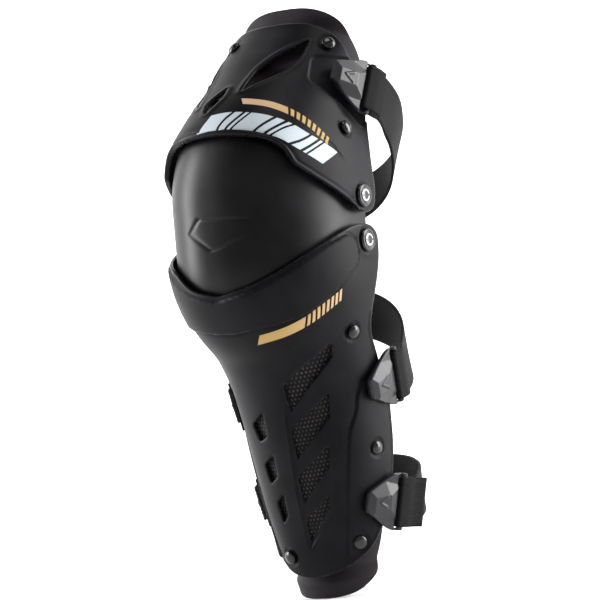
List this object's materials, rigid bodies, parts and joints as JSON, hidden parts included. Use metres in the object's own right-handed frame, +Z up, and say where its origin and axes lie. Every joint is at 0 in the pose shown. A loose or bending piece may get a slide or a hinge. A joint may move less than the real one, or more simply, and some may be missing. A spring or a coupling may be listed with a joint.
{
  "type": "knee and shin guard",
  "caption": "Motocross knee and shin guard: padded thigh and shin shells on a pivoting knee cup, with elastic straps and hook clips behind the leg.",
  "frame": {"origin": "middle of the knee: on the symmetry plane, half-way between the upper and the lower pivot axes, inside the leg channel", "axes": "+Z up along the knee towards the thigh, -Y the front of the guard, +X the outer side with the clips"},
  "size_m": [0.1786, 0.235, 0.5001],
  "materials": {
    "shell_plastic": "fine-textured moulded black",
    "cup_plastic": "satin black",
    "gloss_black": "gloss black",
    "clip_plastic": "semi-gloss dark grey",
    "neoprene": "neoprene",
    "foam": "closed-cell foam",
    "webbing": "woven elastic",
    "nylon": "moulded nylon"
  },
  "bodies": {
    "shin": {"shin_shell": "shell_plastic", "shin_foam": "foam", "shin_liner": "neoprene", "shin_rivet_knee_outer": "gloss_black", "shin_rivet_knee_inner": "gloss_black", "shin_rivet_calf_outer": "gloss_black", "shin_rivet_calf_inner": "gloss_black", "shin_rivet_ankle_outer": "gloss_black", "shin_rivet_ankle_inner": "gloss_black", "upper_calf_strap": "webbing", "upper_calf_keeper": "nylon", "upper_calf_anchor": "nylon", "lower_calf_strap": "webbing", "lower_calf_keeper": "nylon", "lower_calf_anchor": "nylon"},
    "knee": {"knee_cup": "cup_plastic", "knee_pad": "foam", "pivot_upper_outer": "gloss_black", "pivot_upper_inner": "gloss_black", "pivot_lower_outer": "gloss_black", "pivot_lower_inner": "gloss_black", "washer_upper_outer": "nylon", "washer_upper_inner": "nylon", "washer_lower_outer": "nylon", "washer_lower_inner": "nylon"},
    "thigh": {"thigh_shell": "shell_plastic", "thigh_liner": "neoprene", "thigh_rivet_top_outer": "gloss_black", "thigh_rivet_top_inner": "gloss_black", "thigh_rivet_side_outer": "gloss_black", "thigh_rivet_side_inner": "gloss_black", "thigh_strap": "webbing", "thigh_keeper": "nylon", "thigh_anchor": "nylon"},
    "thigh_hook": {"thigh_clip": "clip_plastic", "thigh_strap_end": "webbing"},
    "upper_calf_hook": {"upper_calf_clip": "clip_plastic", "upper_calf_strap_end": "webbing"},
    "lower_calf_hook": {"lower_calf_clip": "clip_plastic", "lower_calf_strap_end": "webbing"}
  },
  "joints": [
    {"name": "lower_pivot", "type": "hinge", "parent": "shin", "child": "knee", "pos_m": [0, 0, -0.0185], "axis": [-1, 0, 0], "range_deg": [-12, 20]},
    {"name": "upper_pivot", "type": "hinge", "parent": "knee", "child": "thigh", "pos_m": [0, 0, 0.0185], "axis": [-1, 0, 0], "range_deg": [-28, 12]},
    {"name": "thigh_clip_hook", "type": "hinge", "parent": "thigh", "child": "thigh_hook", "pos_m": [0.06318, -0.00109, 0.12385], "axis": [0.0702, -0.5252, -0.8481], "range_deg": [0, 50]},
    {"name": "upper_calf_clip_hook", "type": "hinge", "parent": "shin", "child": "upper_calf_hook", "pos_m": [0.06572, 0.00874, -0.14208], "axis": [-0.0928, 0.2653, -0.9597], "range_deg": [0, 50]},
    {"name": "lower_calf_clip_hook", "type": "hinge", "parent": "shin", "child": "lower_calf_hook", "pos_m": [0.05205, 0.01077, -0.23619], "axis": [-0.1825, -0.0643, -0.9811], "range_deg": [0, 50]}
  ]
}
